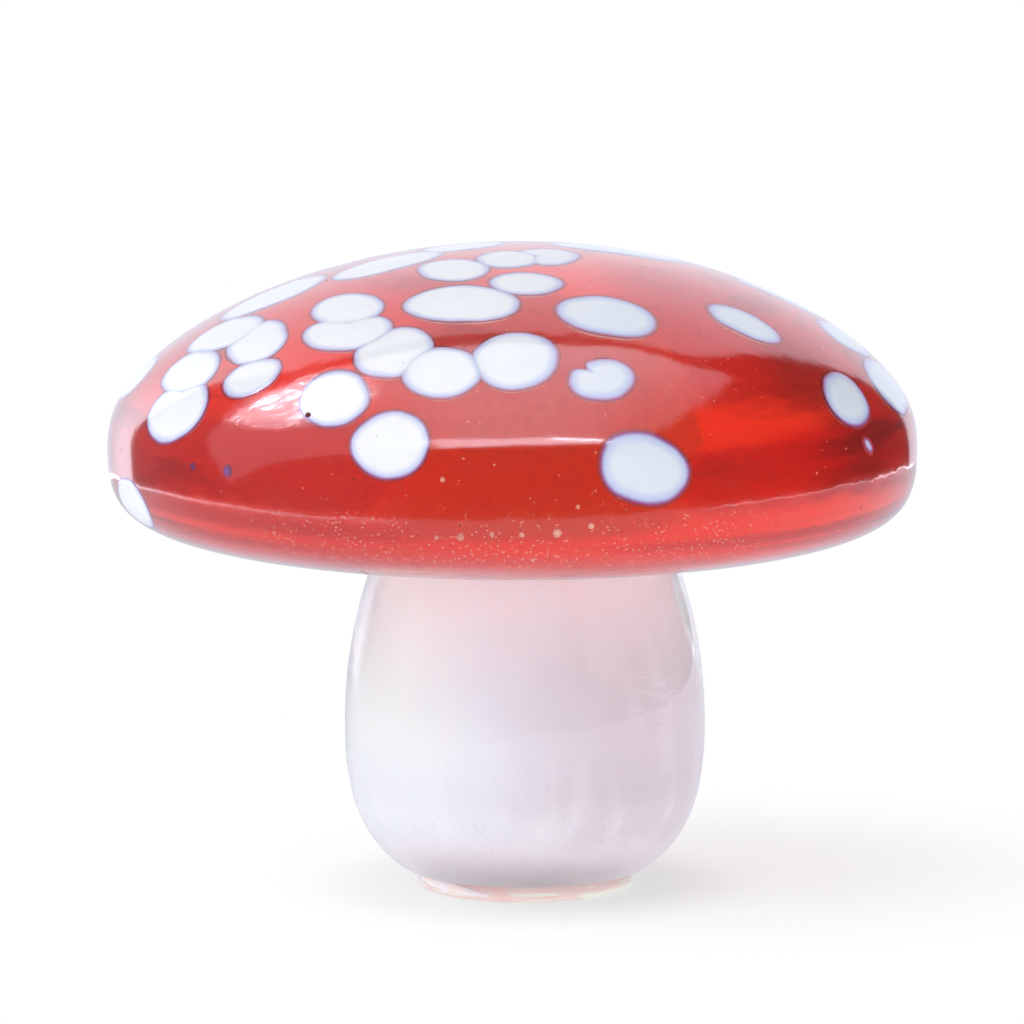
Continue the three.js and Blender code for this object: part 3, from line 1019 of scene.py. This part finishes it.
class SpeckBuilder(bpy.types.Operator):
    """Scatters the specks under the cap's skin"""

    bl_idname = "toadstool.specks"
    bl_label = "Specks"

    def execute(self, context):
        specks = context.scene.toadstool_specks
        cap = context.scene.toadstool_cap
        tree = cap_surface(cap)
        scatter = random.Random(SCATTER_SEED)
        pale, violet, dark = SpeckCloud(cap, tree), SpeckCloud(cap, tree), SpeckCloud(cap, tree)

        def size():
            return part_way((specks.finest, specks.coarsest), scatter.random() ** 2)

        for _ in range(specks.specks):
            height = height_in_cap(cap, SPECK_MARGINS, math.sqrt(scatter.random()))
            depth = specks.cover + SPECK_DEPTH * scatter.random()
            pale.add(scatter.uniform(0, 2 * math.pi), height, depth, size())
        for bearing, height, radius in BLISTERS:
            pale.add(math.radians(bearing), height * MM, specks.cover, radius * MM)
        for bearing, height, radius in FLECKS:
            violet.add(math.radians(bearing), height * MM, FLECK_DEPTH, radius * MM)
        # Pits: dark balls standing out of the skin, painted shade for small hollows
        for _ in range(specks.pits):
            height = height_in_cap(cap, PIT_MARGINS, scatter.random())
            dark.add(scatter.uniform(0, 2 * math.pi), height, -PIT_RISE, scatter.uniform(*PIT_SIZES))
        # The bubble: a dark ball of painted shade
        bearing, height, radius = BUBBLE
        dark.add(math.radians(bearing), height * MM, -BUBBLE_RISE * radius * MM, radius * MM)
        pale_glass = speck_glass("speck_glass", specks.pale, specks.sandy)
        violet_glass = speck_glass("fleck_glass", specks.violet, darker(specks.violet, 0.6))
        pit_shade = speck_glass("pit_shade", specks.dark, darker(specks.dark, 0.5))
        add_piece("cap_specks", pale.points, pale.faces, pale_glass)
        add_piece("cap_flecks", violet.points, violet.faces, violet_glass)
        add_piece("cap_pits", dark.points, dark.faces, pit_shade)
        return {"FINISHED"}


def core_outline(core, seat):
    """The core from its lowest point, past the waist at the seat, to the top of its head."""
    shoulder = core.top - core.rounding
    bottom = curve(16, lambda share: (
        core.radius * math.sin(QUARTER * share),
        core.belly - (core.belly - core.bottom) * math.cos(QUARTER * share)))
    column = curve(24, lambda share: (
        ease(core.radius, core.waist, share), core.belly + (seat - core.belly) * share))
    flare = curve(12, lambda share: (ease(core.waist, core.head, share), seat + core.flare * share))
    top = curve(16, lambda share: (
        core.head * math.cos(QUARTER * share), shoulder + core.rounding * math.sin(QUARTER * share)))
    return bottom + column[1:] + flare[1:] + top


class CoreBuilder(bpy.types.Operator):
    """Builds the opal core"""

    bl_idname = "toadstool.core"
    bl_label = "Opal core"

    def execute(self, context):
        core = context.scene.toadstool_core
        points, faces = revolve(core_outline(core, context.scene.toadstool_cap.seat), CORE_SIDES)
        add_piece("opal_core", points, faces, opal_glass(core), ["stem_core"])
        return {"FINISHED"}


def stem_outline(stem, seat):
    """The clear stem from the middle of its bottom to the middle of its top."""

    def bulb(share):
        height = stem.bottom + (stem.belly - stem.bottom) * (1 - math.cos(QUARTER * share))
        below = (stem.belly - height) / stem.belly
        return stem.radius * (1 - below ** stem.roundness) ** (1 / stem.fullness), height

    def shoulder(share):
        return (stem.radius - (stem.radius - stem.neck) * share ** 2,
                stem.belly + (seat - stem.seat_gap - stem.belly) * share)

    base = [(bulb(0.0)[0] * share, stem.bottom) for share in (0.0, 0.5, 0.95)]
    top = [(stem.neck * share, seat - stem.seat_gap) for share in (0.98, 0.6, 0.0)]
    return base + softened(curve(40, bulb) + curve(40, shoulder)[1:], STEM_SOFTENING) + top


def waved(point, ripple):
    """Moves a point of the round stem by the waves of hot work, mostly inwards."""
    x, y, z = point
    reach = math.hypot(x, y)
    if reach < 1 * MM:
        return point
    spot = Vector((x, y, 1.6 * z))
    growth = 1 + ripple * (noise.noise(spot * STEM_WAVES) - 0.6) / reach
    return x * growth, y * growth, z


class StemBuilder(bpy.types.Operator):
    """Builds the clear stem"""

    bl_idname = "toadstool.stem"
    bl_label = "Clear stem"

    def execute(self, context):
        stem = context.scene.toadstool_stem
        points, faces = revolve(stem_outline(stem, context.scene.toadstool_cap.seat), STEM_SIDES)
        points = [waved(point, stem.ripple) for point in points]
        add_piece("clear_stem", points, faces, clear_glass(stem), ["stem_casing"])
        return {"FINISHED"}


def foot_outline(foot):
    """The foot from the middle of its base to the middle of its top."""
    edge = foot.edge
    high = foot.height - foot.gap
    base = [(foot.radius * share, 0.0) for share in (0.0, 0.5, 0.9)]
    corner = curve(8, lambda share: (
        foot.radius - edge + edge * math.sin(QUARTER * share), edge - edge * math.cos(QUARTER * share)))
    side = curve(8, lambda share: (foot.radius - foot.taper * share ** 2, part_way((edge, high), share)))
    top = [(foot.radius * share, high) for share in (0.9, 0.5, 0.0)]
    return base + corner + side[1:] + top


# The flake from end to end: bearings, heights and half heights of its bead, and its reach past the foot
FLAKE_BEARINGS = (math.radians(194), math.radians(252))
FLAKE_HEIGHTS = (1.9 * MM, 0.7 * MM)
FLAKE_HALF_HEIGHTS = (0.85 * MM, 0.5 * MM)
FLAKE_REACHES = (0.25 * MM, -0.05 * MM)
FLAKE_HALF_WIDTH = 0.35 * MM
FLAKE_RAGGED = 0.25 * MM


def flake_mesh(foot, along=32, sides=14):
    """Points and faces of the flake: a flat bead along the foot's edge that thins out at both ends."""

    def bead(share, turn):
        """A point of the bead at a share of its way and a turn round it."""
        bearing = part_way(FLAKE_BEARINGS, share)
        full = math.sqrt(math.sin(math.pi * share))
        ragged = FLAKE_RAGGED * noise.noise(Vector((9 * share, 0.0, 3.0)))
        reach = foot.radius + part_way(FLAKE_REACHES, share) + FLAKE_HALF_WIDTH * full * math.sin(turn)
        rise = part_way(FLAKE_HALF_HEIGHTS, share) * full * math.cos(turn)
        height = part_way(FLAKE_HEIGHTS, share) + ragged + rise
        return reach * math.cos(bearing), reach * math.sin(bearing), height

    points = [bead(0.0, 0.0)]
    for step in range(1, along):
        points.extend(bead(step / along, 2 * math.pi * side / sides) for side in range(sides))
    points.append(bead(1.0, 0.0))
    return points, ring_faces(along - 1, sides)


class FootBuilder(bpy.types.Operator):
    """Builds the foot and the flake at its edge"""

    bl_idname = "toadstool.foot"
    bl_label = "Foot"

    def execute(self, context):
        foot = context.scene.toadstool_foot
        points, faces = revolve(foot_outline(foot), FOOT_SIDES)
        add_piece("pink_foot", points, faces, foot_glass(foot), ["foot_pad"])
        points, faces = flake_mesh(foot)
        add_piece("foot_flake", points, faces, flake_glass(foot))
        return {"FINISHED"}


# Studio

WHITE = (1.0, 1.0, 1.0)

# Edges of what polished glass mirrors, as slopes: so far to the side or to the back for one step up
SCRIM_FRONT = 0.81
SCRIM_LEAN = 0.19
SCRIM_BACK = 0.54
SCRIM_RIGHT = 0.65
STRIP_BACK = 0.59
STRIP_LEFT = 0.47
STRIP_RIGHT = 0.46
TUBE_FRONT = 0.64
TUBE_LEFT = 0.15
SLIT_BACK = 0.575
SLIT_WIDTH = 0.006
BACKDROP_TOP = 0.60
BACKDROP_LEAN = 0.15

# Sides of the mirrored backdrop, so far to the side for one step to the back
BACKDROP_LEFT = 0.95
BACKDROP_RIGHT = 0.55

# The way to the mirrored lamp, how closely a way has to match it, and the brightness of what is mirrored
LAMP_LEFT = 0.58
LAMP_BACK = 0.22
LAMP_UP = 0.785
LAMP_MATCH = (0.955, 0.995)
LAMP_GLOW = 3
GLINT_GLOW = 22
STRIP_GLOW = 4
TUBE_GLOW = 20
RIM_GLOW = 3.5

# Where the room gets lighter to the left, and the matt light falls off upwards, as parts of a way of length 1
LEFT_SIDE = (0.3, 0.9)
FILL_HEIGHT = (0.15, 0.6)

# How much brighter the left is in the mirrored room, in the light on matt surfaces and on the backdrop
ROOM_GAIN = 0.2
FILL_GAIN = 0.2
BACKDROP_GAIN = 2.2


def mirrored_room(bench, stage, heading):
    """Brightness of what polished glass mirrors: a dark room, a backdrop, a scrim overhead and its lights."""
    side, back, height = bench.axes(heading)
    left = bench.between(-side, *LEFT_SIDE)
    room = stage.dark_front + ROOM_GAIN * left
    backdrop = (bench.past(back - BACKDROP_TOP * height, 0.03) * bench.past(side + BACKDROP_LEFT * back, 0.05)
                * bench.past(BACKDROP_RIGHT * back + BACKDROP_LEAN * height - side, 0.05))
    scrim = (bench.past(back + SCRIM_FRONT * height - SCRIM_LEAN * side, 0.02)
             * bench.past(SCRIM_BACK * height - back, 0.03) * bench.past(SCRIM_RIGHT * height - side, 0.06))
    middle = bench.past(STRIP_RIGHT * height - side, 0.08) * bench.past(STRIP_LEFT * height + side, 0.08)
    strip = bench.past(-STRIP_BACK * height - back, 0.015) * scrim * middle
    tube = strip * bench.past(back + TUBE_FRONT * height, 0.01) * bench.past(side - TUBE_LEFT * height, 0.06)
    slit = bench.past(SLIT_WIDTH * height - abs(back + SLIT_BACK * height), 0.004) * middle
    towards_lamp = LAMP_BACK * back - LAMP_LEFT * side + LAMP_UP * height
    weave = bench.noise(bench.stretch(heading, (14.0, 60.0, 14.0)), 1.0, 2.0)
    glints = LAMP_GLOW + GLINT_GLOW * bench.between(weave, 0.52, 0.66)
    lights = STRIP_GLOW * strip + TUBE_GLOW * tube + glints * bench.between(towards_lamp, *LAMP_MATCH) * scrim
    sides = bench.between(abs(side), 0.1, 0.6)
    cloth = stage.scrim_glow * (1 - 0.6 * sides) * (1 - 0.6 * slit)
    return room + (1 + BACKDROP_GAIN * left - room) * backdrop + (cloth - room) * scrim + lights


class StageBuilder(bpy.types.Operator):
    """Sets the floor, the light and the camera"""

    bl_idname = "toadstool.stage"
    bl_label = "Studio"

    def execute(self, context):
        stage = context.scene.toadstool_stage
        context.scene.view_settings.view_transform = "Standard"
        self.add_floor(context, stage)
        self.add_surroundings(context, stage)
        self.add_softbox(context, stage)
        self.add_camera(context, stage)
        return {"FINISHED"}

    @staticmethod
    def add_floor(context, stage):
        """A round table under the ornament."""
        sides = 128
        corners = []
        for side in range(sides):
            turn = 2 * math.pi * side / sides
            corners.append((stage.table_side + stage.table_radius * math.cos(turn),
                            stage.table_back + stage.table_radius * math.sin(turn), -stage.floor_drop))
        mesh = bpy.data.meshes.new("floor")
        mesh.from_pydata(corners, [], [range(sides)])
        mesh.materials.append(floor_white(stage))
        floor = bpy.data.objects.new("floor", mesh)
        context.scene.collection.objects.link(floor)

    @staticmethod
    def add_surroundings(context, stage):
        """A white world to look at, a studio for the gloss to mirror and an even light on matt surfaces."""
        world = bpy.data.worlds.new("studio")
        world.use_nodes = True
        context.scene.world = world
        bench = Bench(world.node_tree)
        bounces, through, glossy = bench.ray("Diffuse Depth", "Is Transmission Ray", "Is Glossy Ray")
        matt = bench.past(bounces, 1.0)
        mirrored = glossy * (1 - through) * (1 - matt)
        heading = bench.out(bench.node("TexCoord"), "Generated")
        side, _, height = bench.axes(heading)
        fill = stage.fill + FILL_GAIN * bench.between(-side, *LEFT_SIDE)
        light = fill - (stage.fill - stage.daylight) * bench.between(height, *FILL_HEIGHT)
        plain = (1 - matt) * (1 - mirrored) + mirrored * mirrored_room(bench, stage, heading)
        background = bench.node("Background", None, {
            "Color": bench.blend(mirrored, WHITE, stage.sky),
            "Strength": plain + matt * light * (1 + stage.casing_gain * through),
        })
        output = bench.node("OutputWorld")
        bench.tree.links.new(background.outputs["Background"], output.inputs["Surface"])

    @staticmethod
    def add_softbox(context, stage):
        """The one lamp, high on the left."""
        lamp = bpy.data.lights.new("softbox", "AREA")
        lamp.shape = "SQUARE"
        lamp.size = stage.softbox_size
        lamp.energy = stage.softbox_glow * math.pi * stage.softbox_size ** 2
        level = math.cos(stage.softbox_rise)
        away = Vector((level * math.sin(stage.softbox_turn), -level * math.cos(stage.softbox_turn),
                       math.sin(stage.softbox_rise)))
        box = bpy.data.objects.new("softbox", lamp)
        box.location = Vector((0.0, 0.0, stage.softbox_aim)) + stage.softbox_away * away
        box.rotation_euler = away.to_track_quat("Z", "Y").to_euler()
        box.visible_glossy = False
        context.scene.collection.objects.link(box)

    @staticmethod
    def add_camera(context, stage):
        """The camera in front of the ornament, looking slightly down."""
        data = bpy.data.cameras.new("camera")
        data.lens = stage.lens
        data.sensor_width = 36.0
        data.clip_start = 0.05
        camera = bpy.data.objects.new("camera", data)
        camera.location = (stage.camera_side, -stage.camera_back, stage.camera_height)
        target = Vector((stage.camera_side, 0.0, stage.aim_height))
        camera.rotation_euler = (target - camera.location).to_track_quat("-Z", "Y").to_euler()
        context.scene.collection.objects.link(camera)
        context.scene.camera = camera


# Where the table is kept for the ornament's shadow, and the rims of the table that the glass mirrors
FOOT_SPOT = (0.0, 0.0, 0.0)
SHADOW_SPOT = (24 * MM, 12 * MM, 0.0)
CONTACT_FADE = (12 * MM, 32 * MM)
SHADOW_FADE = (5 * MM, 60 * MM)
BOUNCE_FADE = (6 * MM, 16 * MM)
RIGHT_RIM_SIDE = (150 * MM, 230 * MM)
RIGHT_RIM_REACH = (-12 * MM, -8 * MM)
LEFT_RIM_SIDE = (60 * MM, 130 * MM)
LEFT_RIM_REACH = (-26 * MM, -20 * MM)


def floor_white(stage):
    """A pale matt table, plain white away from the ornament, with rims that shine in the glass."""
    material, bench = new_material("floor_white")
    point = bench.place()
    side = bench.axes(point)[0]
    bounces, through, glossy = bench.ray("Diffuse Depth", "Is Transmission Ray", "Is Glossy Ray")
    matt = bench.ray("Is Diffuse Ray")[0]
    mirrored = glossy * (1 - through)
    enclosed = bench.past(bounces, 1.0) * through
    reach = bench.distance(point, (stage.table_side, stage.table_back, 0.0)) - stage.table_radius
    ripples = bench.noise(bench.vector(reach, 0.0, 0.0), 260.0, 1.0)
    right = bench.between(side, *RIGHT_RIM_SIDE) * bench.between(reach, *RIGHT_RIM_REACH)
    left = bench.between(-side, *LEFT_RIM_SIDE) * bench.between(reach, *LEFT_RIM_REACH)
    rims = right + 1.3 * left * bench.between(ripples, 0.45, 0.58)
    grain = bench.noise(point, 300.0, 3.0)
    tone = bench.blend(grain, stage.floor_white, darker(stage.floor_white, 0.985))
    diffuse = bench.node("BsdfDiffuse", None, {"Color": tone})
    glow = bench.node("Emission", None, {
        "Color": bench.blend(mirrored, WHITE, stage.sky),
        "Strength": 1 + (RIM_GLOW * rims - 0.2) * mirrored + stage.casing_gain * enclosed,
    })
    contact = bench.distance(point, FOOT_SPOT)
    away = bench.distance(point, SHADOW_SPOT)
    clean = 0.32 + 0.38 * bench.between(contact, *CONTACT_FADE) + 0.30 * bench.between(away, *SHADOW_FADE)
    bounce = bench.between(contact, *BOUNCE_FADE)
    share = bench.sum("MAXIMUM", clean, through) * (1 - matt) + bounce * matt
    bench.finish(bench.mix_shaders(share, diffuse, glow))
    return material


class ToadstoolPanel(bpy.types.Panel):
    """Lists the steps and the settings"""

    bl_idname = "VIEW3D_PT_toadstool"
    bl_label = "Glass Toadstool"
    bl_space_type = "VIEW_3D"
    bl_region_type = "UI"
    bl_category = "Toadstool"

    def draw(self, context):
        for builder in BUILDERS:
            self.layout.operator(builder.bl_idname)
        for name, group in SETTINGS.items():
            section = self.layout.box()
            section.label(text=group.__doc__)
            for key in group.__annotations__:
                section.prop(getattr(context.scene, name), key)


SETTINGS = {
    "toadstool_cap": CapSettings,
    "toadstool_chips": ChipSettings,
    "toadstool_specks": SpeckSettings,
    "toadstool_core": CoreSettings,
    "toadstool_stem": StemSettings,
    "toadstool_foot": FootSettings,
    "toadstool_stage": StageSettings,
}
BUILDERS = (CapBuilder, ChipBuilder, SpeckBuilder, CoreBuilder, StemBuilder, FootBuilder, StageBuilder)


def register():
    for name, group in SETTINGS.items():
        bpy.utils.register_class(group)
        setattr(bpy.types.Scene, name, PointerProperty(type=group))
    for item in (*BUILDERS, ToadstoolPanel):
        bpy.utils.register_class(item)


def unregister():
    for item in (ToadstoolPanel, *reversed(BUILDERS)):
        bpy.utils.unregister_class(item)
    for name, group in SETTINGS.items():
        delattr(bpy.types.Scene, name)
        bpy.utils.unregister_class(group)


def main():
    register()
    bpy.ops.toadstool.cap()
    bpy.ops.toadstool.chips()
    bpy.ops.toadstool.specks()
    bpy.ops.toadstool.core()
    bpy.ops.toadstool.stem()
    bpy.ops.toadstool.foot()
    bpy.ops.toadstool.stage()


if __name__ == "__main__":
    main()
